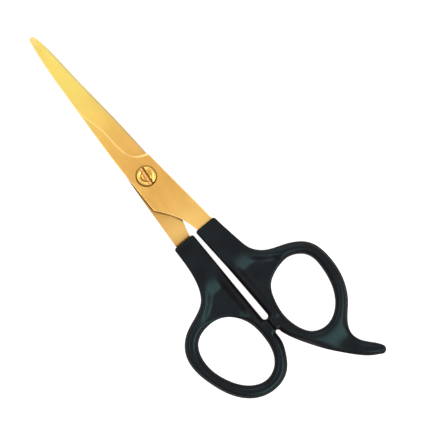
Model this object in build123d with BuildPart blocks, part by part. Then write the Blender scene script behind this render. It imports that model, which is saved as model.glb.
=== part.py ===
"""Hairdresser's shears: two steel blades on an adjustable screw pivot, with moulded plastic finger loops.

Row frame, millimetres: the origin is on the pivot axis, in the plane that the closed shears rest on.
+Z is up out of that plane, +Y points from the pivot to the blade tips, +X is the side of the finger rest.
The finger half (upper blade, loop with the rest) stands still; the thumb half turns about Z.
"""

import os

from build123d import *

os.makedirs("parts", exist_ok=True)

# ---------------------------------------------------------------- driving dimensions
MID_Z = 4.0  # height of the plane in which the two blades meet
SHANK_THICK = 8.0  # moulded handle at the collar, top to bottom
REST_THICK = 5.2  # at the end of the finger rest
EDGE_ROUND = 1.8  # rounding of the moulded edges
COLLAR_CORNER = 1.0  # rounding of the collar seen from above
WEB_THICK = 4.0  # thin webs between the beads of the loops
WEB_TAPER = 40  # slope of the web's sides, degrees from vertical
COLLAR_Y = -28.7  # where the steel enters the plastic

BLADE_THICK = 2.4  # steel stock
TIP_THICK = 1.5  # left at the tip by the distal grind
BLADE_GAP = 0.1  # between the two inner faces
EDGE_LAND = 0.15  # thickness left at the cutting edge
RIM_ROUND = 0.3  # rounding of the outer face's rim
TIP_Y = 69.9

SHOULDER_R = 2.5  # plain part of the screw, the bearing
SHOULDER_BORE_R = 2.55
THREAD_R = 2.0
THREAD_BORE_R = 2.03
HEAD_R = 3.7
HEAD_THICK = 0.95  # to the crest of the head's rim
RIM_CREST_R = 3.1  # the rim is domed; inside it slopes down to a groove about the boss
GROOVE_R = (2.1, 2.4)
GROOVE_DEPTH = 0.2
BOSS_RISE = 0.2  # of the boss above the rim
SLOT_WIDTH = 1.9
SLOT_DEPTH = 0.65
SLOT_ROUND = 0.55  # rounding of the slot's bottom corners
SLOT_TURN = -6.0  # degrees from the Y axis
SEAT_R = 4.25  # recess for the washer and the foot of the head
SEAT_DEPTH = 0.55
TENSION_R = 3.5
TENSION_THICK = 0.35
TENSION_DISH = 0.05
GLIDE_R = 4.2
GLIDE_BORE_R = 2.6
GLIDE_THICK = 0.48
GLIDE_RECESS = 0.2
GLIDE_RECESS_R = 4.3
NUT_R = 3.9
NUT_SLEEVE_R = 2.98
NUT_BORE_R = 3.0
NUT_FLOOR = 0.45  # steel left under the blind thread
AXIAL_PLAY = 0.02

STOP_X = 0.7  # plane in which the two handles meet when the shears are closed
STOP_GAP = 0.08
SLIT_R = 1.28  # the slit ends in a half circle above the stops
SLIT_END_Y = -71.0
NOTCH_Y = -77.9  # lower end of the stop faces

INNER_Z = MID_Z + BLADE_GAP / 2  # inner face of the upper blade
OUTER_Z = INNER_Z + BLADE_THICK  # outer face of the upper blade

# ---------------------------------------------------------------- blade outlines, as (x, y)
# Both blades are drawn as the upper one: spine on the -X side, cutting edge on the +X side.
UPPER_SPINE = [(-6.3, -11.9), (-6.15, 0), (-6.05, 10), (-5.0, 30), (-3.75, 50), (-2.22, 65), (-1.5, 69.2)]
LOWER_SPINE = [(-6.3, -11.9), (-6.0, 0), (-5.6, 10), (-4.45, 30), (-2.9, 50), (-1.69, 65), (-0.8, 69.4)]
UPPER_EDGE = [(5.5, 6.9), (5.1, 12), (4.1, 30), (2.6, 50), (1.45, 65), (0.75, 69.1)]
LOWER_EDGE = [(5.7, 6.9), (5.45, 12), (4.6, 30), (3.4, 50), (1.95, 65), (1.1, 69.0)]
UPPER_TIP = (-0.4, TIP_Y)
LOWER_TIP = (0.2, TIP_Y - 0.05)
UPPER_SHANK = [(6.1, 6.0), (6.6, 0), (8.0, -15), (9.15, COLLAR_Y)]
LOWER_SHANK = [(6.1, 6.0), (6.68, 0), (7.78, -15), (8.65, COLLAR_Y)]
SHANK_INNER = [(-6.3, -12.1), (-4.4, -14.6), (-1.95, -17.9), (0.0, -21.9), (1.95, COLLAR_Y)]
TANG_OUTER = [(8.0, -30.2), (8.0, -48.5)]
TANG_INNER = [(3.2, -30.2), (4.2, -48.5)]
TANG_HOLES = [(5.8, -35.0), (6.1, -43.0)]
TANG_HOLE_R = 1.3

# Line in which the hollow grind breaks out of the flat outer face, and its curved start at the pivot end.
RIDGE = [(-1.0, 4), (-1.4, 14), (-1.9, 20), (-2.5, 26), (-4.1, 33), (-4.0, 44), (-3.1, 55), (-1.9, 65), (-1.3, 72)]
GRIND_START = [(9.0, 4.3), (5.2, 6.0), (3.0, 7.0), (0.5, 9.2), (-1.0, 12.2), (-3.0, 19.0), (-9.0, 30.0)]
GRIND_HOLLOW = 0.10  # depth of the hollow, as a share of the bevel's height
GRIND_LIP = (0.94, 0.85)  # the last of the bevel, up to the ridge, is steeper: where it starts, across and up
GRIND_WALL = 22  # slope of the step at the start of the grind, degrees from vertical
INSIDE_HOLLOW_R = 37.5  # radius of the shallow hollow in the inner face
INSIDE_HOLLOW = [(14.0, 0.16), (66.0, 0.012)]  # its depth at two places along the blade, as (y, depth)

# ---------------------------------------------------------------- handle outlines, as (x, y)
FINGER_COLLAR_X = (0.8, 10.05)
FINGER_SLIT = [(1.62, -48.0), (1.98, SLIT_END_Y)]
FINGER_NOTCH = [(1.3, -78.15), (1.75, -79.5)]
FINGER_REST = [(1.75, -79.5), (3.6, -84.0), (7.0, -90.0), (10.95, -96.0), (15.8, -102.0), (21.4, -107.9), (26.0, -110.9)]
FINGER_REST_END = (28.3, -111.3)
FINGER_LOOP = [
    (29.2, -108.9), (26.3, -105.0), (23.3, -101.0), (22.5, -97.6), (24.2, -93.1), (29.4, -87.0), (33.0, -80.5),
    (34.75, -69.5), (32.4, -60.0), (24.2, -54.2), (16.9, -51.0), (13.1, -46.6), (11.95, -42.0), (10.6, -33.0),
]
FINGER_HOLE = [
    (20.3, -59.0), (15.6, -60.0), (10.4, -63.1), (7.7, -69.0), (6.8, -75.5), (7.8, -81.3),
    (11.2, -87.0), (16.6, -88.9), (22.2, -87.0), (27.2, -81.0), (29.7, -71.0), (28.4, -63.0),
]
# The webs, drawn where their sloping sides begin; they run out into the finger holes.
FINGER_WEB = [(5.7, -48.4), (12.6, -50.6), (19.0, -54.6), (25.0, -57.6), (22.0, -63.0), (11.0, -70.0), (6.2, -73.0)]
REST_WEB = [(11.0, -90.6), (13.0, -85.0), (21.0, -85.0), (23.2, -90.6), (20.8, -96.0), (21.0, -103.0), (16.4, -98.6)]

THUMB_COLLAR_X = (-0.6, -9.85)
THUMB_SLIT = [(-0.58, SLIT_END_Y)]
THUMB_NOTCH = [(0.2, -78.3), (0.0, -80.0)]
THUMB_LOOP = [
    (-1.9, -87.0), (-6.6, -93.1), (-14.2, -95.4), (-22.5, -93.0), (-28.3, -87.0), (-32.1, -78.0), (-33.6, -69.0),
    (-32.4, -63.0), (-27.0, -57.0), (-20.0, -54.0), (-14.9, -51.0), (-12.2, -46.6), (-10.9, -42.0), (-10.0, -33.0),
]
THUMB_HOLE = [
    (-17.0, -59.9), (-9.5, -63.0), (-5.6, -69.3), (-4.7, -77.0), (-5.9, -84.0), (-9.3, -88.6),
    (-14.6, -90.4), (-21.9, -87.0), (-26.1, -81.0), (-28.6, -71.0), (-26.0, -63.0),
]
THUMB_WEB = [(-4.3, -48.6), (-10.5, -51.0), (-16.0, -55.0), (-22.0, -58.4), (-18.0, -63.0), (-8.0, -70.0), (-4.4, -72.0)]

# Thickness of the handles at two places along Y: they thin out evenly from the collar to the finger rest.
THICKNESS = [(-27.0, SHANK_THICK), (-112.5, REST_THICK)]


def on_line(points, y):
    """x at y on the broken line through points, carried on straight past its ends."""
    ordered = sorted(points, key=lambda point: point[1])
    pairs = list(zip(ordered, ordered[1:]))
    inside = [pair for pair in pairs if pair[0][1] <= y <= pair[1][1]]
    (x0, y0), (x1, y1) = inside[0] if inside else (pairs[0] if y < ordered[0][1] else pairs[-1])
    return x0 + (x1 - x0) * (y - y0) / (y1 - y0)


def outer_face(y):
    """Height of the upper blade's outer face, which falls towards the tip."""
    share = max(0.0, (y - 15.0) / (TIP_Y - 15.0))
    return OUTER_Z - (BLADE_THICK - TIP_THICK) * share**1.5


# ---------------------------------------------------------------- blades
def grind_cutter(edge_points):
    """What the wheel takes off the outer face: all above a hollow sheet from the ridge to the cutting edge."""
    lip_share, lip_height = GRIND_LIP
    profile = [(share, share - 4 * GRIND_HOLLOW * share * (1 - share)) for share in (-0.15, 0.0, 0.25, 0.5, 0.75)]
    profile += [(lip_share, lip_height), (1.0, 1.0), (1.12, 1.3)]
    sheet = []
    for x_ridge, y in RIDGE:
        x_edge = on_line(edge_points, y)
        low = INNER_Z + EDGE_LAND
        rise = outer_face(y) - low
        row = []
        for share, height in profile:
            row.append(Vector(x_edge + (x_ridge - x_edge) * share, y, low + rise * height))
        sheet.append(row)
    with BuildPart() as cutter:
        extrude(Face.make_surface_from_array_of_points(sheet), amount=6, dir=(0, 0, 1))
        with BuildSketch(Plane.XY.offset(OUTER_Z)):
            with BuildLine():
                start = Spline(*GRIND_START)
                Polyline(start @ 1, (-9, 80), (9, 80), start @ 0)
            make_face()
        extrude(amount=-BLADE_THICK, taper=GRIND_WALL, mode=Mode.INTERSECT)
    return cutter.part


def inside_hollow():
    """Long shallow cylinder that hollows the inner face, deep near the pivot and fading out at the tip."""
    (y0, depth0), (y1, depth1) = INSIDE_HOLLOW
    heel = Vector(-0.6, y0, INNER_Z - INSIDE_HOLLOW_R + depth0)
    toe = Vector(-0.6, y1, INNER_Z - INSIDE_HOLLOW_R + depth1)
    with BuildPart() as hollow:
        with BuildSketch(Plane(origin=heel, z_dir=toe - heel)):
            Circle(INSIDE_HOLLOW_R)
        extrude(amount=80)
    return hollow.part


def blade(spine_points, edge_points, tip, shank_points):
    """One blade with its tang, drawn as the upper blade."""
    with BuildPart() as steel:
        with BuildSketch(Plane.XY.offset(INNER_Z)):
            with BuildLine():
                spine = Spline(*spine_points)
                ThreePointArc(spine @ 1, tip, edge_points[-1])
                edge = Spline(*reversed(edge_points))
                Line(edge @ 1, shank_points[0])
                shank = Spline(*shank_points)
                Polyline(shank @ 1, *TANG_OUTER, *reversed(TANG_INNER), SHANK_INNER[-1])
                inner = Spline(*reversed(SHANK_INNER))
                Line(inner @ 1, spine @ 0)
            make_face()
            with Locations(*TANG_HOLES):
                Circle(TANG_HOLE_R, mode=Mode.SUBTRACT)
        extrude(amount=BLADE_THICK)
        fillet(steel.faces().sort_by(Axis.Z)[-1].outer_wire().edges(), RIM_ROUND)
        with BuildSketch(Plane.YZ):
            with BuildLine():
                top = Spline(*[(y, outer_face(y)) for y in (15, 30, 45, 60, 75)], tangents=[(1, 0), (1, -0.035)])
                Polyline(top @ 1, (75, INNER_Z - 1), (-55, INNER_Z - 1), (-55, OUTER_Z), top @ 0)
            make_face()
        extrude(amount=20, both=True, mode=Mode.INTERSECT)
        add(grind_cutter(edge_points), mode=Mode.SUBTRACT)
        add(inside_hollow(), mode=Mode.SUBTRACT)
        with BuildSketch(Plane.XY.offset(INNER_Z)):
            Circle(GLIDE_RECESS_R)
        extrude(amount=GLIDE_RECESS, mode=Mode.SUBTRACT)
    return steel.part


with BuildPart() as finger_blade:
    add(blade(UPPER_SPINE, UPPER_EDGE, UPPER_TIP, UPPER_SHANK))
    with BuildSketch(Plane.XY.offset(OUTER_Z)):
        Circle(SEAT_R)
    extrude(amount=-SEAT_DEPTH, mode=Mode.SUBTRACT)
    with BuildSketch(Plane.XY.offset(INNER_Z)):
        Circle(SHOULDER_BORE_R)
    extrude(amount=BLADE_THICK, mode=Mode.SUBTRACT)

# The lower blade is drawn like the upper one, then turned over about the Y direction in the middle plane.
turn_over = Location((0, 0, 2 * MID_Z), (0, 180, 0))
with BuildPart() as thumb_blade:
    add(turn_over * blade(LOWER_SPINE, LOWER_EDGE, LOWER_TIP, LOWER_SHANK))
    with BuildSketch(Plane.XY):
        Circle(NUT_BORE_R)
    extrude(amount=MID_Z, mode=Mode.SUBTRACT)

# ---------------------------------------------------------------- moulded handles
with BuildSketch() as finger_outline:
    with BuildLine():
        collar = Line((FINGER_COLLAR_X[1], COLLAR_Y), (FINGER_COLLAR_X[0], COLLAR_Y))
        slit = Polyline(collar @ 1, *FINGER_SLIT)
        stop_top = (STOP_X + STOP_GAP / 2, SLIT_END_Y - SLIT_R)
        slit_end = RadiusArc(slit @ 1, stop_top, SLIT_R)
        stop = Line(stop_top, (STOP_X + STOP_GAP / 2, NOTCH_Y))
        ThreePointArc(stop @ 1, *FINGER_NOTCH)
        rest = Spline(*FINGER_REST)
        ThreePointArc(rest @ 1, FINGER_REST_END, FINGER_LOOP[0])
        Spline(*FINGER_LOOP, collar @ 0)
    make_face()
    fillet(finger_outline.vertices().group_by(Axis.Y)[-1], COLLAR_CORNER)
    with BuildLine():
        Spline(*FINGER_HOLE, periodic=True)
    make_face(mode=Mode.SUBTRACT)

with BuildSketch() as thumb_outline:
    with BuildLine():
        collar = Line((THUMB_COLLAR_X[1], COLLAR_Y), (THUMB_COLLAR_X[0], COLLAR_Y))
        slit = Polyline(collar @ 1, *THUMB_SLIT)
        stop_top = (STOP_X - STOP_GAP / 2, SLIT_END_Y - SLIT_R)
        slit_end = RadiusArc(slit @ 1, stop_top, -SLIT_R)
        stop = Line(stop_top, (STOP_X - STOP_GAP / 2, NOTCH_Y))
        loop = Spline(stop @ 1, *THUMB_NOTCH, *THUMB_LOOP, collar @ 0)
    make_face()
    fillet(thumb_outline.vertices().group_by(Axis.Y)[-1], COLLAR_CORNER)
    with BuildLine():
        Spline(*THUMB_HOLE, periodic=True)
    make_face(mode=Mode.SUBTRACT)


def web_cutter(web):
    """Material missing above and below a thin web, with sloping sides."""
    with BuildPart() as cutter:
        with BuildSketch(Plane.XY.offset(MID_Z + SHANK_THICK / 2)):
            with BuildLine():
                Polyline(*web, close=True)
            make_face()
        extrude(amount=-(SHANK_THICK - WEB_THICK) / 2, taper=WEB_TAPER)
        mirror(about=Plane.XY.offset(MID_Z))
    return cutter.part


def moulded(outline, webs, tang):
    """A handle of the given outline: side profile, rounded rims, thin webs, and the pocket that the tang fills."""
    with BuildPart() as body:
        add(outline)
        extrude(amount=SHANK_THICK)
        with BuildSketch(Plane.YZ.offset(-50)):
            with BuildLine():
                top = Line(*[(y, MID_Z + thick / 2) for y, thick in THICKNESS])
                bottom = Line(*[(y, MID_Z - thick / 2) for y, thick in THICKNESS])
                Line(top @ 1, bottom @ 1)
                Line(bottom @ 0, top @ 0)
            make_face()
        extrude(amount=100, mode=Mode.INTERSECT)
        rims = body.edges().filter_by(lambda edge: abs(edge.center().Z - MID_Z) > 2.0)
        fillet(rims, EDGE_ROUND)
        for web in webs:
            add(web_cutter(web), mode=Mode.SUBTRACT)
        add(tang, mode=Mode.SUBTRACT)
    return body.part


with BuildPart() as finger_handle:
    add(moulded(finger_outline.sketch, [FINGER_WEB, REST_WEB], finger_blade.part))

with BuildPart() as thumb_handle:
    add(moulded(thumb_outline.sketch, [THUMB_WEB], thumb_blade.part))

# ---------------------------------------------------------------- pivot, from the underside up
NUT_FOOT_Z = 0.0
LOW_OUTER_Z = 2 * MID_Z - OUTER_Z  # outer face of the lower blade, on the nut's flange
GLIDE_Z = MID_Z - GLIDE_THICK / 2
SLEEVE_TOP_Z = MID_Z - BLADE_GAP / 2 - GLIDE_RECESS - 0.1
SEAT_Z = OUTER_Z - SEAT_DEPTH
TENSION_Z = SEAT_Z + AXIAL_PLAY
HEAD_Z = TENSION_Z + TENSION_THICK + TENSION_DISH + AXIAL_PLAY
CREST_Z = HEAD_Z + HEAD_THICK
THREAD_END_Z = NUT_FLOOR + 0.25

with BuildPart() as pivot_nut:
    with BuildSketch(Plane.XY.offset(NUT_FOOT_Z)):
        Circle(NUT_R)
    extrude(amount=LOW_OUTER_Z)
    chamfer(pivot_nut.edges().group_by(Axis.Z)[0], 0.3)
    with BuildSketch(Plane.XY.offset(LOW_OUTER_Z)):
        Circle(NUT_SLEEVE_R)
    extrude(amount=SLEEVE_TOP_Z - LOW_OUTER_Z)
    with BuildSketch(Plane.XY.offset(NUT_FLOOR)):
        Circle(THREAD_BORE_R)
    extrude(amount=SLEEVE_TOP_Z, mode=Mode.SUBTRACT)

with BuildPart() as glide_washer:
    with BuildSketch(Plane.XY.offset(GLIDE_Z)):
        Circle(GLIDE_R)
        Circle(GLIDE_BORE_R, mode=Mode.SUBTRACT)
    extrude(amount=GLIDE_THICK)

with BuildPart() as tension_washer:
    with BuildSketch(Plane.XZ):
        with Locations((SHOULDER_BORE_R, TENSION_Z + TENSION_DISH)):
            washer_profile = Polygon(
                (0, 0), (0, TENSION_THICK), (TENSION_R - SHOULDER_BORE_R, TENSION_THICK - TENSION_DISH),
                (TENSION_R - SHOULDER_BORE_R, -TENSION_DISH), align=None,
            )
    revolve(axis=Axis.Z)

with BuildPart() as pivot_screw:
    with BuildSketch(Plane.XY.offset(THREAD_END_Z)):
        Circle(THREAD_R)
    extrude(amount=HEAD_Z - THREAD_END_Z)
    chamfer(pivot_screw.edges().group_by(Axis.Z)[0], 0.3)
    with BuildSketch(Plane.XY.offset(SLEEVE_TOP_Z + AXIAL_PLAY)):
        Circle(SHOULDER_R)
    extrude(amount=HEAD_Z - SLEEVE_TOP_Z - AXIAL_PLAY)
    with BuildSketch(Plane.XZ):
        with BuildLine():
            boss_top = Line((0, HEAD_Z), (0, CREST_Z + BOSS_RISE))
            boss = Spline(
                boss_top @ 1, (0.8 * GROOVE_R[0], CREST_Z + 0.7 * BOSS_RISE), (GROOVE_R[0], CREST_Z - GROOVE_DEPTH),
                tangents=[(1, 0), (0.2, -1)],
            )
            groove = Line(boss @ 1, (GROOVE_R[1], CREST_Z - GROOVE_DEPTH))
            rim = Spline(
                groove @ 1, (RIM_CREST_R, CREST_Z), (HEAD_R, CREST_Z - 0.55), tangents=[(1, 0.4), (0, -1)]
            )
            Polyline(rim @ 1, (HEAD_R, HEAD_Z), (0, HEAD_Z))
        make_face()
    revolve(axis=Axis.Z)
    across = Vector(1, 0, 0).rotate(Axis.Z, SLOT_TURN)
    towards = Vector(0, -1, 0).rotate(Axis.Z, SLOT_TURN)
    with BuildSketch(Plane(origin=(0, 0, CREST_Z - SLOT_DEPTH), x_dir=across, z_dir=towards)) as slot_profile:
        Rectangle(SLOT_WIDTH, HEAD_R, align=(Align.CENTER, Align.MIN))
        fillet(slot_profile.vertices().group_by(Axis.Y)[0], SLOT_ROUND)
    extrude(amount=2 * HEAD_R, both=True, mode=Mode.SUBTRACT)

PARTS = {
    "finger_blade": finger_blade,
    "thumb_blade": thumb_blade,
    "finger_handle": finger_handle,
    "thumb_handle": thumb_handle,
    "pivot_nut": pivot_nut,
    "glide_washer": glide_washer,
    "tension_washer": tension_washer,
    "pivot_screw": pivot_screw,
}

for name, builder in PARTS.items():
    builder.part.label = name
    export_step(builder.part, f"parts/{name}.step")
    print(name, len(builder.solids()), "solid", round(builder.part.volume, 1), "mm3", builder.part.is_valid)
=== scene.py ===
"""Looks of the hairdresser's shears, in metres, in the frame of the CAD model.

The steel and the pivot are the CAD nodes with procedural materials. The two moulded handles are rebuilt as
smooth bodies over the CAD outlines: round beads about the loops, thin webs between them, soft shank edges.
"""

from math import ceil, cos, pi, radians, sin

import bpy
import numpy as np
import openvdb
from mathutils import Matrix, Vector


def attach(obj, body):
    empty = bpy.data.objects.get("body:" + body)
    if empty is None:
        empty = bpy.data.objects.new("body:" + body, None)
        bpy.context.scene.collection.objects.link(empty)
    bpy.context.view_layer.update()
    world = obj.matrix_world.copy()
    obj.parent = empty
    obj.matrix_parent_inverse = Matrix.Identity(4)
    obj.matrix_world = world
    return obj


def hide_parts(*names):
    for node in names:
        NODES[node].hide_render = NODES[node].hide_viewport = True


MM = 0.001
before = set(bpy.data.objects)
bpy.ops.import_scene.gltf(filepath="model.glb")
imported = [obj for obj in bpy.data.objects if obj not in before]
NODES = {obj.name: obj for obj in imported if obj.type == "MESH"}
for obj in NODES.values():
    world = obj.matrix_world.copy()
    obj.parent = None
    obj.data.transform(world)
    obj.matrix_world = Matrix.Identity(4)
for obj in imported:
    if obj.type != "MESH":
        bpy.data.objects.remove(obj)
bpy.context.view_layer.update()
SCENE = bpy.context.scene

# ---------------------------------------------------------------- handle shape, in millimetres
MID_Z = 4.0  # plane in which the blades meet, and the middle of the mouldings
SLICE_Z = MID_Z + 0.01  # between the two tang pockets, so that a section shows the bare outline
PITCH = 0.25  # cell of the grid that the handles' skin is drawn through
MARGIN = 1.5  # empty room around a handle in that grid
POINTS_AT_ONCE = 4000  # grid points compared with an outline in one go
BLUR_REACH = 3  # a blur is cut off at this many times its width
TINY_LENGTH2 = 1e-12  # these two keep divisors above zero
TINY_SHARE = 1e-9

HALF_AT_COLLAR = 3.93  # half of the handle's thickness at the collar, and at the end of the finger rest
HALF_AT_REST = 2.62
COLLAR_Y = -28.7
REST_END_Y = -111.5
SHANK_ROUND = 1.1  # rounding of the shank's edges
BEAD_ROUND = 2.3  # the loops are round beads: the rounding reaches their middle
BEAD_FROM_Y, BEAD_TO_Y = -42.0, -56.0  # the shank's edges turn into beads between these
CREST_BLEND = 1.2  # softens the crease along the crest of a bead

WEB_HALF = 1.95  # half thickness of the webs
WEB_ROUND = 0.9
WEB_FROM_Y, WEB_TO_Y = -44.5, -51.9  # the shank slopes down to the web between these
FLANK_FROM, FLANK_TO = 1.0, 4.1  # where a bead falls to the web, counted from the outline
FALL_EASE = 1.8  # a fall starts gently and ends in a crisp foot
FOOT_BLUR = 0.60  # rounding of that foot
WEB_MIN_WIDTH, WEB_WIDTH_RAMP = 4.9, 2.8  # no web where the moulding is only as wide as its bead
SLIT_FLANK_TO = 7.5  # up to here from the slit between the handles the web is less deep
SLIT_WEB_SHARE = 0.85

REST_FROM_X, REST_TO_X = 2.0, 8.0  # the loop's bead turns into the finger rest between these
REST_FROM_Y, REST_TO_Y = -80.0, -87.0
REST_DROP = 0.45  # share of its thickness that the finger rest gives up where it leaves the loop
LOOP_BEAD_FROM, LOOP_BEAD_TO = 1.8, 9.6  # where it gives that up, counted from the hole
REST_END_FROM_Y, REST_END_TO_Y = -99.0, -110.0  # and it is as thick as ever again at its end
REST_ROUND = 3.8  # the finger rest is rounded nearly up to its middle
REST_ROUND_FROM, REST_ROUND_TO = 2.5, 6.0  # counted from the hole
REST_CREST_BLUR = 0.9  # softens its crest, but not the outer millimetre of its edge
REST_BLUR_FROM, REST_BLUR_TO = 1.0, 2.0

SEAM_DEPTH = 0.05  # the parting line of the mould, a fine groove about the middle
SEAM_WIDTH = 0.16
STOP_X = 0.7  # the loops meet here when the shears are closed, on flat pads about 0.01 apart
STOP_FROM_Y, STOP_TO_Y = -72.6, -77.6
STOP_REACH = 1.6  # a pad reaches this far from the line where the loops meet
STOP_STEEP = 1.5
STOP_FADE = 1.0  # and fades out over this length at either end
STOP_BLUR = 0.7
STOP_ROUND = 0.5
STOP_GAP = 0.08  # the CAD handles are this far apart at the stops; the pads close most of it


def smoothstep(value):
    """0 below 0, 1 above 1, and a smooth step between them."""
    share = np.clip(value, 0.0, 1.0)
    return share * share * (3.0 - 2.0 * share)


def eased(value):
    """0 below 0, 1 above 1, rising ever faster between them."""
    return np.clip(value, 0.0, 1.0) ** FALL_EASE


def between(value, start, end):
    """0 at start, 1 at end."""
    return (value - start) / (end - start)


def mix(a, b, share):
    """a where share is 0, b where it is 1."""
    return a + (b - a) * share


def section_loops(node, height):
    """Closed outlines of a CAD node at one height, the longest first, as ordered points in millimetres."""
    mesh = NODES[node].data
    mesh.calc_loop_triangles()
    points = np.empty(len(mesh.vertices) * 3)
    mesh.vertices.foreach_get("co", points)
    points = points.reshape(-1, 3) / MM
    corners = np.empty(len(mesh.loop_triangles) * 3, dtype=np.int64)
    mesh.loop_triangles.foreach_get("vertices", corners)
    welded = np.unique(points.round(3), axis=0, return_inverse=True)[1].reshape(-1)
    above = points[:, 2] > height
    crossing = {}
    links = {}
    for triangle in corners.reshape(-1, 3):
        cut = []
        for a, b in ((0, 1), (1, 2), (2, 0)):
            i, j = triangle[a], triangle[b]
            if above[i] != above[j]:
                key = tuple(sorted((welded[i], welded[j])))
                share = (height - points[i, 2]) / (points[j, 2] - points[i, 2])
                crossing[key] = points[i, :2] + (points[j, :2] - points[i, :2]) * share
                cut.append(key)
        if len(cut) == 2:
            links.setdefault(cut[0], []).append(cut[1])
            links.setdefault(cut[1], []).append(cut[0])
    return sorted(chained(crossing, links), key=outline_length, reverse=True)


def chained(crossing, links):
    """Follows the links from one crossing point to the next, loop after loop."""
    loops = []
    while links:
        key = next(iter(links))
        chain = [key]
        while links.get(key):
            following = links[key].pop()
            if key in links.get(following, []):
                links[following].remove(key)
            chain.append(following)
            key = following
        for used in chain:
            if not links.get(used):
                links.pop(used, None)
        loops.append(np.array([crossing[used] for used in chain]))
    return loops


def outline_length(loop):
    return np.linalg.norm(np.diff(loop, axis=0), axis=1).sum()


def inside_distance(loop, x, y):
    """Distance of each point to the outline, positive inside it."""
    starts, ends = loop, np.roll(loop, -1, axis=0)
    along = ends - starts
    length2 = np.maximum((along**2).sum(axis=1), TINY_LENGTH2)
    flat_x, flat_y = x.ravel(), y.ravel()
    result = np.empty(flat_x.shape)
    for first in range(0, len(flat_x), POINTS_AT_ONCE):
        batch = slice(first, first + POINTS_AT_ONCE)
        px = flat_x[batch, None]
        py = flat_y[batch, None]
        rel_x, rel_y = px - starts[:, 0], py - starts[:, 1]
        share = np.clip((rel_x * along[:, 0] + rel_y * along[:, 1]) / length2, 0.0, 1.0)
        gap2 = (rel_x - share * along[:, 0]) ** 2 + (rel_y - share * along[:, 1]) ** 2
        spans = (starts[:, 1] > py) != (ends[:, 1] > py)
        slope = along[:, 0] / np.where(along[:, 1] == 0.0, TINY_LENGTH2, along[:, 1])
        crossed = spans & (rel_x < rel_y * slope)
        sign = np.where(crossed.sum(axis=1) % 2 == 1, 1.0, -1.0)
        result[batch] = sign * np.sqrt(gap2.min(axis=1))
    return result.reshape(x.shape)


def blurred(field, width):
    """Gaussian blur of a grid of values, width in millimetres."""
    reach = int(BLUR_REACH * width / PITCH) + 1
    weights = np.exp(-0.5 * (np.arange(-reach, reach + 1) * PITCH / width) ** 2)
    weights /= weights.sum()
    for axis in (0, 1):
        padded = np.pad(field, [(reach, reach) if n == axis else (0, 0) for n in (0, 1)], mode="edge")
        field = sum(
            weight * np.take(padded, range(n, n + field.shape[axis]), axis=axis)
            for n, weight in enumerate(weights)
        )
    return field


def smooth_min(a, b, width):
    """The lower of two fields, with the crease between them rounded."""
    share = np.clip(1.0 - np.abs(a - b) / width, 0.0, 1.0)
    return np.minimum(a, b) - share * share * width / 4.0


def finger_rest(x, y, from_hole):
    """Where the finger rest is, where it is rounded more, and where it is thinner: 1 there, 0 elsewhere."""
    rest = smoothstep(between(y, REST_FROM_Y, REST_TO_Y)) * smoothstep(between(x, REST_FROM_X, REST_TO_X))
    rounder = rest * smoothstep(between(from_hole, REST_ROUND_FROM, REST_ROUND_TO))
    thinner = smoothstep(between(from_hole, LOOP_BEAD_FROM, LOOP_BEAD_TO)) * rest
    thinner *= 1.0 - smoothstep(between(y, REST_END_FROM_Y, REST_END_TO_Y))
    return rest, rounder, thinner


def web_share(x, y, from_outline, from_hole, rest):
    """1 on the thin webs, 0 on the beads, the shank and the finger rest."""
    web = eased(between(from_outline, FLANK_FROM, FLANK_TO))
    web *= smoothstep((from_outline + from_hole - WEB_MIN_WIDTH) / WEB_WIDTH_RAMP)
    web *= eased(between(y, WEB_FROM_Y, WEB_TO_Y))
    away_from_slit = smoothstep(between(np.abs(x - STOP_X), FLANK_FROM, SLIT_FLANK_TO))
    web *= mix(SLIT_WEB_SHARE, 1.0, away_from_slit)
    return blurred(web * (1.0 - rest), FOOT_BLUR)


def stop_pads(x, y):
    """1 on the pads where the loops meet."""
    across = smoothstep((STOP_REACH - np.abs(x - STOP_X)) / STOP_REACH * STOP_STEEP)
    upper_end = smoothstep((STOP_FROM_Y + STOP_FADE - y) / STOP_FADE)
    lower_end = smoothstep((y - STOP_TO_Y + STOP_FADE) / STOP_FADE)
    return blurred(across * (upper_end * lower_end), STOP_BLUR)


def edge_round(bead_round, bead, web, stop):
    """Rounding of the edges: the shank's, turning into that of the beads, the webs and the stop pads."""
    return mix(mix(mix(SHANK_ROUND, bead_round, bead), WEB_ROUND, web), STOP_ROUND, stop)


def rounded_slab(depth, height, half, round_in, round_up):
    """Field of a slab with elliptic edges, below 0 inside; depth is counted inwards from its outline."""
    inward = (round_in - depth) / round_in
    upward = (np.abs(height) - (half - round_up)) / round_up
    across = np.maximum(inward, 0.0) ** 2 + TINY_SHARE
    up = np.maximum(upward, 0.0) ** 2 + TINY_SHARE
    scale = (round_in * across + round_up * up) / (across + up)
    return np.where(
        (inward > 0.0) | (upward > 0.0),
        (np.sqrt(across + up) - 1.0) * scale,
        np.maximum(inward * round_in, upward * round_up) - np.minimum(round_in, round_up),
    )


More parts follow.
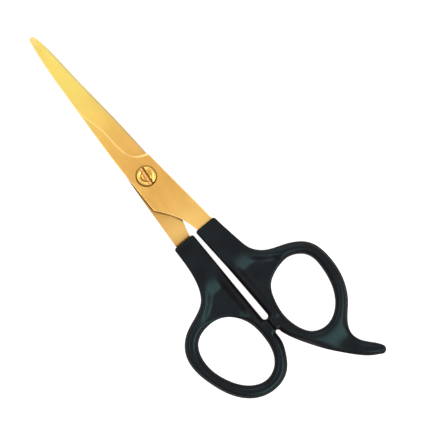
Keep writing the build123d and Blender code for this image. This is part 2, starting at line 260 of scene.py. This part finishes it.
def handle_skin(node):
    """Points and quads of a moulded handle: its CAD outline given beads, webs and rounded edges."""
    outline, hole = section_loops(node, SLICE_Z)[:2]
    low = outline.min(axis=0) - MARGIN
    high = outline.max(axis=0) + MARGIN
    x, y = np.meshgrid(
        np.arange(low[0], high[0], PITCH), np.arange(low[1], high[1], PITCH), indexing="ij"
    )
    from_outline = inside_distance(outline, x, y)
    from_hole = -inside_distance(hole, x, y)
    rest, rounder, thinner = finger_rest(x, y, from_hole)
    web = web_share(x, y, from_outline, from_hole, rest)
    stop = stop_pads(x, y)
    bead = smoothstep(between(y, BEAD_FROM_Y, BEAD_TO_Y))

    depth = smooth_min(from_outline, from_hole, CREST_BLEND)
    soft_crest = rounder * smoothstep(between(depth, REST_BLUR_FROM, REST_BLUR_TO))
    depth = mix(depth, blurred(depth, REST_CREST_BLUR), soft_crest)
    half_full = mix(HALF_AT_COLLAR, HALF_AT_REST, between(y, COLLAR_Y, REST_END_Y))
    half_full = half_full * (1.0 - REST_DROP * thinner)
    half = mix(half_full, WEB_HALF, web)
    round_in = edge_round(mix(BEAD_ROUND, REST_ROUND, rounder), bead, web, stop)
    round_up = edge_round(half_full, bead, web, stop)

    layers = ceil((HALF_AT_COLLAR + MARGIN) / PITCH)
    height = (np.arange(-layers, layers + 1) + 0.5) * PITCH
    plan = (depth, half, round_in, round_up, stop)
    depth, half, round_in, round_up, stop = (values[..., None] for values in plan)
    seam = SEAM_DEPTH * np.exp(-((height / SEAM_WIDTH) ** 2)) * (1.0 - stop)
    closing = STOP_GAP / 2.0 * stop
    field = rounded_slab(depth, height, half, round_in, round_up) + seam - closing
    grid = openvdb.FloatGrid(MARGIN)
    grid.copyFromArray(np.ascontiguousarray(field, dtype=np.float32))
    points, quads = grid.convertToQuads(isovalue=0.0)
    return points * PITCH + np.array([low[0], low[1], MID_Z + height[0]]), quads


def handle_piece(name, node, body, material):
    """The moulded handle as one smooth piece that stands for its CAD node."""
    points, quads = handle_skin(node)
    mesh = bpy.data.meshes.new(name)
    mesh.from_pydata((points * MM).tolist(), [], quads.tolist())
    mesh.validate()
    mesh.shade_smooth()
    mesh.materials.append(material)
    piece = bpy.data.objects.new(name, mesh)
    SCENE.collection.objects.link(piece)
    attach(piece, body)
    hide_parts(node)


# ---------------------------------------------------------------- material helpers
def new_material(name):
    """A node material, its node tree and its Principled shader."""
    material = bpy.data.materials.new(name)
    material.use_nodes = True
    tree = material.node_tree
    return material, tree, tree.nodes["Principled BSDF"]


def set_inputs(node, **values):
    """Sets sockets by name, with underscores for the spaces."""
    for key, value in values.items():
        node.inputs[key.replace("_", " ")].default_value = value


def feed(tree, socket, value):
    """Gives an input socket a number, or the output of another node."""
    if isinstance(value, bpy.types.NodeSocket):
        tree.links.new(value, socket)
    else:
        socket.default_value = value


def calc(tree, operation, *values):
    """One arithmetic node."""
    node = tree.nodes.new("ShaderNodeMath")
    node.operation = operation
    for socket, value in zip(node.inputs, values):
        feed(tree, socket, value)
    return node.outputs[0]


def product(tree, value, *factors):
    """A value times each of the factors."""
    for factor in factors:
        value = calc(tree, "MULTIPLY", value, factor)
    return value


def swing(tree, noise, width):
    """Noise moved to about 0, and this wide from end to end."""
    return product(tree, calc(tree, "SUBTRACT", noise, 0.5), width)


def ramp_between(tree, value, start, end, low=0.0, high=1.0):
    """Carries value from start..end to low..high, smoothly and no further."""
    node = tree.nodes.new("ShaderNodeMapRange")
    node.interpolation_type = "SMOOTHSTEP"
    for socket, number in zip(node.inputs, (value, start, end, low, high)):
        feed(tree, socket, number)
    return node.outputs[0]


def ramp_mm(tree, length, start, end, low=0.0, high=1.0):
    """The same for a length, with start and end in millimetres."""
    return ramp_between(tree, length, start * MM, end * MM, low, high)


def place(tree):
    """The point on the piece, in metres in the shared frame at rest, and its X, Y and Z."""
    coordinates = tree.nodes.new("ShaderNodeTexCoord").outputs["Object"]
    split = tree.nodes.new("ShaderNodeSeparateXYZ")
    tree.links.new(coordinates, split.inputs[0])
    return coordinates, split.outputs


def facing(tree):
    """The normal of the face, and how far it points along Z."""
    normal = tree.nodes.new("ShaderNodeNewGeometry").outputs["Normal"]
    split = tree.nodes.new("ShaderNodeSeparateXYZ")
    tree.links.new(normal, split.inputs[0])
    return normal, split.outputs["Z"]


def from_axis(tree, x, y):
    """Distance from the axis of the pivot."""
    return calc(tree, "SQRT", calc(tree, "ADD", product(tree, x, x), product(tree, y, y)))


def grain(tree, coordinates, size_mm, detail=2.0):
    """Noise whose blotches measure size_mm along X, Y and Z."""
    mapping = tree.nodes.new("ShaderNodeMapping")
    mapping.inputs["Scale"].default_value = [1.0 / (size * MM) for size in size_mm]
    tree.links.new(coordinates, mapping.inputs["Vector"])
    noise = tree.nodes.new("ShaderNodeTexNoise")
    set_inputs(noise, Scale=1.0, Detail=detail, Roughness=0.55)
    tree.links.new(mapping.outputs[0], noise.inputs["Vector"])
    return noise.outputs["Fac"]


def blend_colours(tree, share, first, second):
    """The first colour where share is 0, the second where it is 1."""
    node = tree.nodes.new("ShaderNodeMix")
    node.data_type = "RGBA"
    feed(tree, node.inputs["Factor"], share)
    feed(tree, node.inputs["A"], first)
    feed(tree, node.inputs["B"], second)
    return node.outputs["Result"]


def layered(tree, colour, layers):
    """A colour with others laid over it in turn, each where its share says."""
    for share, over in layers:
        colour = blend_colours(tree, share, colour, over)
    return colour


def relief(tree, bsdf, height, depth_mm, over_normal=None):
    """Bump of the given depth, over the face's own normal or another one."""
    bump = tree.nodes.new("ShaderNodeBump")
    set_inputs(bump, Strength=1.0, Distance=depth_mm * MM)
    tree.links.new(height, bump.inputs["Height"])
    if over_normal is not None:
        tree.links.new(over_normal, bump.inputs["Normal"])
    tree.links.new(bump.outputs["Normal"], bsdf.inputs["Normal"])


def crevice(tree, reach_mm, clear=0.75, filled=0.30):
    """1 where other faces stand close around, of this piece or another, and 0 in the open."""
    node = tree.nodes.new("ShaderNodeAmbientOcclusion")
    node.samples = 8
    node.inputs["Distance"].default_value = reach_mm * MM
    return ramp_between(tree, node.outputs["AO"], clear, filled)


# ---------------------------------------------------------------- colours
GOLD = (0.745, 0.42, 0.107, 1)
GOLD_DEEP = (0.71, 0.39, 0.097, 1)  # in clouds over the blades
GOLD_INNER_SHADED = (0.60, 0.32, 0.082, 1)  # painted shade: darker gold on the faces turned to the other blade
GOLD_SCRATCH_AND_PAINTED_LIGHT = (0.90, 0.58, 0.185, 1)  # paler gold: in scratches, and towards the handles as painted light that brightens the gold there
GOLD_TIP = (0.84, 0.64, 0.15, 1)  # the coat turns yellower towards the tips, and its paleness there is partly painted reflection
GOLD_PAINTED_HIGHLIGHT = (0.99, 0.68, 0.28, 1)  # painted highlight: paler gold on ridges and rims, for the light line that they catch
WALL_PAINTED_SHADE = (0.20, 0.11, 0.04, 1)  # painted shade: the narrow side walls are coloured dark brown, for the dark that they reflect
BARE_STEEL = (0.66, 0.64, 0.60, 1)
GOLD_SCREW = (0.81, 0.50, 0.135, 1)
GOLD_BOSS = (0.66, 0.36, 0.07, 1)  # the raised middle of the screw's head
GOLD_SLOT_PAINTED_LIGHT = (0.92, 0.50, 0.165, 1)  # painted light: paler gold in the slot, for its lit floor
PAINTED_SHADE = (0.13, 0.055, 0.008, 1)  # painted shade: dark brown in the crevices of the screw, nut and washer, in the seat and slot of the screw, and along the upper blade's edge
SPRING_STEEL = (0.62, 0.60, 0.56, 1)
SPRING_STEEL_WORN = (0.52, 0.46, 0.36, 1)
PIGMENT = (0.0054, 0.0024, 0.0034, 1)
PIGMENT_FADED = (0.0068, 0.0034, 0.0044, 1)
DUST = (0.030, 0.032, 0.034, 1)
TEAL = (0.42, 0.97, 1.0, 1)  # tint of the plastic's gloss
NYLON_DIM = (0.78, 0.75, 0.66, 1)
NYLON_BRIGHT = (0.86, 0.84, 0.77, 1)
PAPER_DIM = (0.34, 0.34, 0.34, 1)
PAPER_BRIGHT = (0.38, 0.38, 0.38, 1)

# ---------------------------------------------------------------- gold of the blades; lengths in millimetres
NOISE = (0.35, 0.65)  # middle range of a coarse noise, which a ramp spreads out
FINE_NOISE = (0.3, 0.7)  # and of a fine one
BRUSH_ALONG = (0.12, 5.0, 0.12)  # size of the scratches along the blade, and across it
BRUSH_ACROSS = (3.0, 0.10, 0.10)
BRUSH_DEPTH = 0.0012
BLADE_CLOUD = (5.0, 9.0, 5.0)
SCRATCHES = (0.60, 0.85)
SCRATCHES_PALE = 0.4
TIP_FADE_Y = (8.0, 50.0)
COLLAR_PAINTED_LIGHT_Y = (-11.0, -25.0)
COLLAR_PAINTED_LIGHT = 0.6
BLADE_ROUGHNESS = (0.34, 0.42)
BLADE_ROUGHNESS_SWING = 0.08

# Faces are told apart by how far their normal points along Z, from clearly not to clearly so.
GROUND_NORMAL = (0.995, 0.985)
INNER_NORMAL = (-0.8, -0.9)
WALL_NORMAL = (0.25, 0.10)
RIDGE_NORMAL = (0.93, 0.85)
RIDGE_LIFT = 0.85  # how far the ridges' normals turn to the outer side

HONED = 0.25  # the honed line reaches this far from the plane where the blades meet
HONED_SOFT = 0.02
HONED_FROM_Y, HONED_TO_Y = 7.0, 8.0  # it starts between these
HONED_FROM_X = 0.5
HONED_MIN_NORMAL = -0.5  # no inner face is honed
HONED_BARE = 0.6
HONED_SMOOTHER = 0.14

SEAT_PAINTED_SHADE_R = 4.33
SEAT_PAINTED_SHADE_TOP = 6.36  # just under the outer face of the upper blade
SEAT_PAINTED_SHADE_SIDE = (3.5, -3.5)  # X plus Y where there is least painted shadow, and most
SEAT_PAINTED_SHADE_LEVELS = (0.35, 0.85)
EDGE_PAINTED_SHADE_MM = 1.0
EDGE_PAINTED_SHADE_CLEAR, EDGE_PAINTED_SHADE_FILLED = 0.98, 0.72
EDGE_PAINTED_SHADE_LEVEL = 0.9
EDGE_LEFT_X = -5.9  # the lower blade lies bare left of this, and below the slanting end of the upper one
EDGE_CORNER = (-6.15, -11.7)  # a point of that slanting end
EDGE_SLOPE = -1.62


def seat_painted_shadow(tree, x, y, z):
    """Painted shadow in the seat around the head of the screw, darkest on the side away from the light."""
    in_seat = calc(tree, "LESS_THAN", from_axis(tree, x, y), SEAT_PAINTED_SHADE_R * MM)
    sunk = calc(tree, "LESS_THAN", z, SEAT_PAINTED_SHADE_TOP * MM)
    level = ramp_mm(tree, calc(tree, "ADD", x, y), *SEAT_PAINTED_SHADE_SIDE, *SEAT_PAINTED_SHADE_LEVELS)
    return product(tree, level, in_seat, sunk)


def edge_painted_shadow(tree, x, y):
    """Painted shadow on the lower blade along the edge of the upper one, where that edge rests."""
    beside = calc(tree, "LESS_THAN", x, EDGE_LEFT_X * MM)
    end_line = product(tree, calc(tree, "SUBTRACT", x, EDGE_CORNER[0] * MM), EDGE_SLOPE)
    below = calc(tree, "LESS_THAN", calc(tree, "SUBTRACT", y, EDGE_CORNER[1] * MM), end_line)
    bare = calc(tree, "MAXIMUM", beside, below)
    near = crevice(tree, EDGE_PAINTED_SHADE_MM, clear=EDGE_PAINTED_SHADE_CLEAR, filled=EDGE_PAINTED_SHADE_FILLED)
    return product(tree, near, bare, EDGE_PAINTED_SHADE_LEVEL)


def brushing(tree, coordinates, outward):
    """Fine scratches: along the flats, and across the faces that are ground."""
    ground = ramp_between(tree, outward, *GROUND_NORMAL)
    across = product(tree, grain(tree, coordinates, BRUSH_ACROSS), ground)
    along = product(tree, grain(tree, coordinates, BRUSH_ALONG), calc(tree, "SUBTRACT", 1.0, ground))
    return calc(tree, "ADD", across, along)


def honed_line(tree, x, y, z, outward, side):
    """1 on the line that honing leaves bare along the cutting edge."""
    from_middle = calc(tree, "ABSOLUTE", calc(tree, "SUBTRACT", z, MID_Z * MM))
    near = ramp_mm(tree, from_middle, HONED + HONED_SOFT, HONED - HONED_SOFT)
    past_pivot = ramp_mm(tree, y, HONED_FROM_Y, HONED_TO_Y)
    not_inner = calc(tree, "GREATER_THAN", outward, HONED_MIN_NORMAL)
    edge_side = calc(tree, "GREATER_THAN", product(tree, x, side), HONED_FROM_X * MM)
    return product(tree, near, past_pivot, not_inner, edge_side)


def rounded_ridges(tree, face_normal, ridges, side):
    """Normals for the lighting: ridges and rims too fine to model as rounds catch the light from outside."""
    outside = tree.nodes.new("ShaderNodeCombineXYZ")
    outside.inputs["Z"].default_value = side
    lifted = tree.nodes.new("ShaderNodeMix")
    lifted.data_type = "VECTOR"
    feed(tree, lifted.inputs["Factor"], product(tree, ridges, RIDGE_LIFT))
    start, end = (socket for socket in lifted.inputs if socket.type == "VECTOR" and socket.name in ("A", "B"))
    tree.links.new(face_normal, start)
    tree.links.new(outside.outputs[0], end)
    unit = tree.nodes.new("ShaderNodeVectorMath")
    unit.operation = "NORMALIZE"
    tree.links.new(next(socket for socket in lifted.outputs if socket.type == "VECTOR"), unit.inputs[0])
    return unit.outputs[0]


def blade_gold(name, side):
    """Gold coat on brushed steel; side is 1 for the upper blade and -1 for the lower one."""
    material, tree, bsdf = new_material(name)
    set_inputs(bsdf, Metallic=1.0)
    coordinates, (x, y, z) = place(tree)
    face_normal, normal_z = facing(tree)
    outward = product(tree, normal_z, side)
    flatness = calc(tree, "ABSOLUTE", normal_z)
    walls = ramp_between(tree, flatness, *WALL_NORMAL)
    ridges = product(tree, ramp_between(tree, flatness, *RIDGE_NORMAL), calc(tree, "SUBTRACT", 1.0, walls))
    brushed = brushing(tree, coordinates, outward)
    cloud = grain(tree, coordinates, BLADE_CLOUD, detail=3.0)
    honed = honed_line(tree, x, y, z, outward, side)
    # painted shadow: in the seat of the screw on the upper blade, and along the upper blade's edge on the
    # lower one
    painted_shadow = seat_painted_shadow(tree, x, y, z) if side > 0 else edge_painted_shadow(tree, x, y)

    coat = layered(tree, GOLD_DEEP, [
        (ramp_between(tree, cloud, *NOISE), GOLD),
        # painted shade on the faces turned to the other blade
        (ramp_between(tree, outward, *INNER_NORMAL), GOLD_INNER_SHADED),
        # yellower coat towards the tips, partly painted reflection
        (ramp_mm(tree, y, *TIP_FADE_Y), GOLD_TIP),
        (ramp_between(tree, brushed, *SCRATCHES, 0.0, SCRATCHES_PALE), GOLD_SCRATCH_AND_PAINTED_LIGHT),
        # painted light: paler gold towards the handles
        (ramp_mm(tree, y, *COLLAR_PAINTED_LIGHT_Y, 0.0, COLLAR_PAINTED_LIGHT), GOLD_SCRATCH_AND_PAINTED_LIGHT),
        # painted highlight on ridges and rims
        (ridges, GOLD_PAINTED_HIGHLIGHT),
        # painted shade on the side walls
        (walls, WALL_PAINTED_SHADE),
        (painted_shadow, PAINTED_SHADE),
        (product(tree, honed, HONED_BARE), BARE_STEEL),
    ])
    tree.links.new(coat, bsdf.inputs["Base Color"])
    satin = ramp_between(tree, brushed, *FINE_NOISE, *BLADE_ROUGHNESS)
    satin = calc(tree, "ADD", satin, swing(tree, cloud, BLADE_ROUGHNESS_SWING))
    satin = calc(tree, "SUBTRACT", satin, product(tree, honed, HONED_SMOOTHER))
    tree.links.new(satin, bsdf.inputs["Roughness"])
    relief(tree, bsdf, brushed, BRUSH_DEPTH, rounded_ridges(tree, face_normal, ridges, side))
    return material


# ---------------------------------------------------------------- screw, nut and spring washer; millimetres
TURNED_RINGS = (0.09, 1.0, 0.09)
TURNED_DEPTH = 0.0004
TURNED_ROUGHNESS_SPREAD = 0.04
WEAR_BLOTCH = (1.6, 1.6, 1.6)
WEAR_NOISE = (0.52, 0.70)
WEAR_LEVEL = 0.6
WEAR_ROUGHER = 0.06
SCREW_PAINTED_SHADE_MM = 0.6
BOSS_EDGE = (2.3, 1.9)
SLOT_TURN = -6.0  # degrees that the slot of the screw is turned
SLOT_HALF = 1.05  # half of the width in which the slot's materials hold
SLOT_PAINTED_SHADE_TOP = 7.25
SLOT_PAINTED_SHADE_ACROSS = (0.12, 0.30)  # painted shadow fills the slot from here across to its wall
SLOT_PAINTED_SHADE_LEVEL = 0.92
RING = (2.1, 2.4)  # radii of the ring groove
RING_SOFT = 0.1
RING_PAINTED_SHADE_X = (2.0, -1.6)  # where there is least painted shadow in it, and most
RING_PAINTED_SHADE_LEVELS = (0.15, 0.75)


def slot_painted_shadow(tree, x, y, z, radius):
    """Painted shadow along one wall of the slot, and in the ring groove on the other side; the slot itself.
    """
    turn = radians(SLOT_TURN)
    across = calc(tree, "ADD", product(tree, x, cos(turn)), product(tree, y, sin(turn)))
    inside = calc(tree, "LESS_THAN", calc(tree, "ABSOLUTE", across), SLOT_HALF * MM)
    in_slot = product(tree, inside, calc(tree, "LESS_THAN", z, SLOT_PAINTED_SHADE_TOP * MM))
    slot_shade = ramp_mm(tree, across, *SLOT_PAINTED_SHADE_ACROSS, 0.0, SLOT_PAINTED_SHADE_LEVEL)
    outside_inner = ramp_mm(tree, radius, RING[0] - RING_SOFT, RING[0])
    inside_outer = ramp_mm(tree, radius, RING[1] + RING_SOFT, RING[1])
    lying = ramp_mm(tree, x, *RING_PAINTED_SHADE_X, *RING_PAINTED_SHADE_LEVELS)
    in_ring = product(tree, lying, outside_inner, inside_outer)
    return calc(tree, "MAXIMUM", product(tree, slot_shade, in_slot), in_ring), in_slot


def turned_metal(name, colour, worn_colour, roughness, slotted=False):
    """Metal turned on a lathe: fine rings about the pivot axis, and blotches of handling wear."""
    material, tree, bsdf = new_material(name)
    set_inputs(bsdf, Metallic=1.0)
    coordinates, (x, y, z) = place(tree)
    radius = from_axis(tree, x, y)
    ring_place = tree.nodes.new("ShaderNodeCombineXYZ")
    feed(tree, ring_place.inputs["X"], radius)
    feed(tree, ring_place.inputs["Z"], z)
    rings = grain(tree, ring_place.outputs[0], TURNED_RINGS)
    cloud = grain(tree, coordinates, WEAR_BLOTCH, detail=4.0)
    wear = ramp_between(tree, cloud, *WEAR_NOISE, 0.0, WEAR_LEVEL)

    # painted shade: darker where other faces stand close around
    layers = [(wear, worn_colour), (crevice(tree, SCREW_PAINTED_SHADE_MM), PAINTED_SHADE)]
    if slotted:
        painted_shadow, in_slot = slot_painted_shadow(tree, x, y, z, radius)
        # painted light in the slot, and painted shadow along its wall and in the ring groove
        layers += [(ramp_mm(tree, radius, *BOSS_EDGE), GOLD_BOSS), (in_slot, GOLD_SLOT_PAINTED_LIGHT), (painted_shadow, PAINTED_SHADE)]
    tree.links.new(layered(tree, colour, layers), bsdf.inputs["Base Color"])
    smoothest, roughest = roughness - TURNED_ROUGHNESS_SPREAD, roughness + TURNED_ROUGHNESS_SPREAD
    ringed = ramp_between(tree, rings, *FINE_NOISE, smoothest, roughest)
    tree.links.new(calc(tree, "ADD", ringed, product(tree, wear, WEAR_ROUGHER)), bsdf.inputs["Roughness"])
    relief(tree, bsdf, rings, TURNED_DEPTH)
    return material


# ---------------------------------------------------------------- plastic and nylon; lengths in millimetres
GLOSS = 0.175
SIDE_GLOSS = 0.01  # the sides of the moulding are duller than its top
SIDE_NORMAL = (0.78, 0.38)
MOULD_TEXTURE = (0.22, 0.22, 0.22)
MOULD_RIPPLE = (2.6, 2.6, 2.6)
MOULD_DEPTH = 0.012
TEXTURE_SHARE = 0.15
PLASTIC_CLOUD = (9.0, 9.0, 9.0)
PLASTIC_ROUGHNESS = (0.31, 0.39)
TEXTURE_ROUGHNESS_SWING = 0.10
SPECK = (0.5, 0.5, 0.5)
SPECK_NOISE = (0.66, 0.74)
SPECK_LEVEL = 0.25
NYLON_CLOUD = (1.2, 1.2, 1.2)
NYLON_CUTS = (0.1, 0.1, 0.1)
NYLON_DEPTH = 0.003


def moulded_plastic(name):
    """Black moulded plastic with a faint teal sheen, fine mould texture, and patches rubbed smoother."""
    material, tree, bsdf = new_material(name)
    set_inputs(bsdf, Specular_Tint=TEAL)
    coordinates, _ = place(tree)
    _, normal_z = facing(tree)
    side = ramp_between(tree, calc(tree, "ABSOLUTE", normal_z), *SIDE_NORMAL)
    gloss = calc(tree, "SUBTRACT", GLOSS, product(tree, side, GLOSS - SIDE_GLOSS))
    tree.links.new(gloss, bsdf.inputs["Specular IOR Level"])
    texture = grain(tree, coordinates, MOULD_TEXTURE)
    ripple = grain(tree, coordinates, MOULD_RIPPLE, detail=1.0)
    cloud = grain(tree, coordinates, PLASTIC_CLOUD, detail=4.0)
    specks = ramp_between(tree, grain(tree, coordinates, SPECK, detail=3.0), *SPECK_NOISE)
    pigment = layered(tree, PIGMENT, [
        (ramp_between(tree, cloud, *NOISE), PIGMENT_FADED),
        (product(tree, specks, SPECK_LEVEL), DUST),
    ])
    tree.links.new(pigment, bsdf.inputs["Base Color"])
    worn = ramp_between(tree, cloud, *NOISE, *PLASTIC_ROUGHNESS)
    rough = calc(tree, "ADD", worn, swing(tree, texture, TEXTURE_ROUGHNESS_SWING))
    tree.links.new(rough, bsdf.inputs["Roughness"])
    relief(tree, bsdf, calc(tree, "ADD", product(tree, texture, TEXTURE_SHARE), ripple), MOULD_DEPTH)
    return material


def milky_nylon(name):
    """Natural nylon: warm white, a little translucent, drawn matt by the cutting tool."""
    material, tree, bsdf = new_material(name)
    set_inputs(bsdf, Roughness=0.5, Subsurface_Weight=0.15, Subsurface_Radius=(1.0, 0.8, 0.6))
    set_inputs(bsdf, Subsurface_Scale=0.5 * MM)
    coordinates, _ = place(tree)
    cloud = grain(tree, coordinates, NYLON_CLOUD, detail=3.0)
    tree.links.new(blend_colours(tree, cloud, NYLON_DIM, NYLON_BRIGHT), bsdf.inputs["Base Color"])
    relief(tree, bsdf, grain(tree, coordinates, NYLON_CUTS), NYLON_DEPTH)
    return material


# ---------------------------------------------------------------- materials on the pieces
def give(material, node):
    """Puts one material on every slot of a CAD node."""
    for slot in NODES[node].material_slots:
        slot.material = material


SCREW_ROUGHNESS = 0.36
SPRING_ROUGHNESS = 0.3

give(blade_gold("gold_upper_blade", 1), "finger_blade")
give(blade_gold("gold_lower_blade", -1), "thumb_blade")
give(turned_metal("gold_screw_polish", GOLD_SCREW, GOLD_TIP, SCREW_ROUGHNESS, slotted=True), "pivot_screw")
give(turned_metal("gold_nut_polish", GOLD_SCREW, GOLD_TIP, SCREW_ROUGHNESS), "pivot_nut")
SPRING = turned_metal("spring_steel_bright", SPRING_STEEL, SPRING_STEEL_WORN, SPRING_ROUGHNESS)
give(SPRING, "tension_washer")
give(milky_nylon("nylon_natural"), "glide_washer")

PLASTIC = moulded_plastic("handle_plastic_moulded")
handle_piece("finger_moulding", "finger_handle", "finger_half", PLASTIC)
handle_piece("thumb_moulding", "thumb_handle", "thumb_half", PLASTIC)

# ---------------------------------------------------------------- floor
FLOOR_HALF = 12.0  # metres
FLOOR_GLOW = 0.88
FLOOR_DROP = 0.02 * MM
PAPER_FIBRE = (0.8, 0.8, 0.8)


def add_floor():
    """A pale sheet that glows, as paper on a light table does."""
    mesh = bpy.data.meshes.new("floor")
    corners = [(x * FLOOR_HALF, y * FLOOR_HALF, 0) for x, y in ((-1, -1), (1, -1), (1, 1), (-1, 1))]
    mesh.from_pydata(corners, [], [(0, 1, 2, 3)])
    floor = bpy.data.objects.new("floor", mesh)
    floor.location.z = -FLOOR_DROP
    SCENE.collection.objects.link(floor)
    paper, tree, bsdf = new_material("paper")
    coordinates, _ = place(tree)
    fibre = grain(tree, coordinates, PAPER_FIBRE, detail=3.0)
    tree.links.new(blend_colours(tree, fibre, PAPER_DIM, PAPER_BRIGHT), bsdf.inputs["Base Color"])
    set_inputs(bsdf, Roughness=0.9, Emission_Color=(1, 1, 1, 1), Emission_Strength=FLOOR_GLOW)
    mesh.materials.append(paper)


# ---------------------------------------------------------------- light
# Light of the room by the sine of the height above the horizon: brighter in a wide ring around the top.
SKY = [
    (0.0, 0.45),
    (0.15, 0.35),
    (0.40, 0.45),
    (0.62, 0.80),
    (0.80, 0.88),
    (0.92, 0.88),
    (0.98, 0.76),
    (1.0, 0.74),
]
SKY_BRIGHT_SIDE = (0.50, 0.86, 0.0)  # the room is brighter on this side, and dim across from it
SKY_SIDE_LEVELS = (0.35, 1.35)
LIGHT_AIM = Vector((0.0, -20.0, MID_Z)) * MM


def add_sky():
    """A room that lights the shears by height and by side."""
    world = bpy.data.worlds.new("studio")
    SCENE.world = world
    world.use_nodes = True
    tree = world.node_tree
    background = tree.nodes["Background"]
    direction = tree.nodes.new("ShaderNodeTexCoord").outputs["Generated"]

    split = tree.nodes.new("ShaderNodeSeparateXYZ")
    tree.links.new(direction, split.inputs[0])
    ramp = tree.nodes.new("ShaderNodeValToRGB")
    tree.links.new(split.outputs["Z"], ramp.inputs["Fac"])
    tree.links.new(ramp.outputs["Color"], background.inputs["Color"])
    ramp.color_ramp.interpolation = "EASE"
    stops = ramp.color_ramp.elements
    while len(stops) < len(SKY):
        stops.new(0.5)
    for stop, (height, level) in zip(stops, SKY):
        stop.position = height
        stop.color = (level, level, level, 1)

    towards = tree.nodes.new("ShaderNodeVectorMath")
    towards.operation = "DOT_PRODUCT"
    towards.inputs[1].default_value = SKY_BRIGHT_SIDE
    tree.links.new(direction, towards.inputs[0])
    side = tree.nodes.new("ShaderNodeMapRange")
    side.inputs["From Min"].default_value = -1.0
    side.inputs["To Min"].default_value = SKY_SIDE_LEVELS[0]
    side.inputs["To Max"].default_value = SKY_SIDE_LEVELS[1]
    tree.links.new(towards.outputs["Value"], side.inputs["Value"])
    tree.links.new(side.outputs[0], background.inputs["Strength"])


def softbox(name, azimuth, elevation, width, height, radiance):
    """A lamp a metre away, aimed at the middle of the object; azimuth from +X towards +Y."""
    data = bpy.data.lights.new(name, "AREA")
    data.shape = "RECTANGLE"
    data.size = width
    data.size_y = height
    data.energy = radiance * pi * width * height
    lamp = bpy.data.objects.new(name, data)
    SCENE.collection.objects.link(lamp)
    around, up = radians(azimuth), radians(elevation)
    back = Vector((cos(around) * cos(up), sin(around) * cos(up), sin(up)))
    lamp.location = LIGHT_AIM + back
    lamp.rotation_euler = back.to_track_quat("Z", "Y").to_euler()


# ---------------------------------------------------------------- camera
VIEW_CENTRE = Vector((10.85, -28.5, 6.0)) * MM
VIEW_WIDTH = 166.15 * MM  # width of the picture at that height
VIEW_TURN = -39.6  # degrees
LENS = 200.0
SENSOR = 36.0


def add_camera():
    """Straight above the shears, far enough away to see them almost without perspective."""
    data = bpy.data.cameras.new("camera")
    data.lens = LENS
    data.sensor_width = SENSOR
    camera = bpy.data.objects.new("camera", data)
    SCENE.collection.objects.link(camera)
    camera.location = VIEW_CENTRE + Vector((0, 0, VIEW_WIDTH * LENS / SENSOR))
    camera.rotation_euler = (0, 0, radians(VIEW_TURN))
    SCENE.camera = camera


add_floor()
add_sky()
softbox("key", azimuth=60, elevation=38, width=0.7, height=0.5, radiance=2.6)
softbox("tail", azimuth=-78, elevation=46, width=1.1, height=0.6, radiance=5.6)
softbox("left", azimuth=140, elevation=58, width=0.5, height=0.5, radiance=3.2)
add_camera()
SCENE.view_settings.view_transform = "Standard"
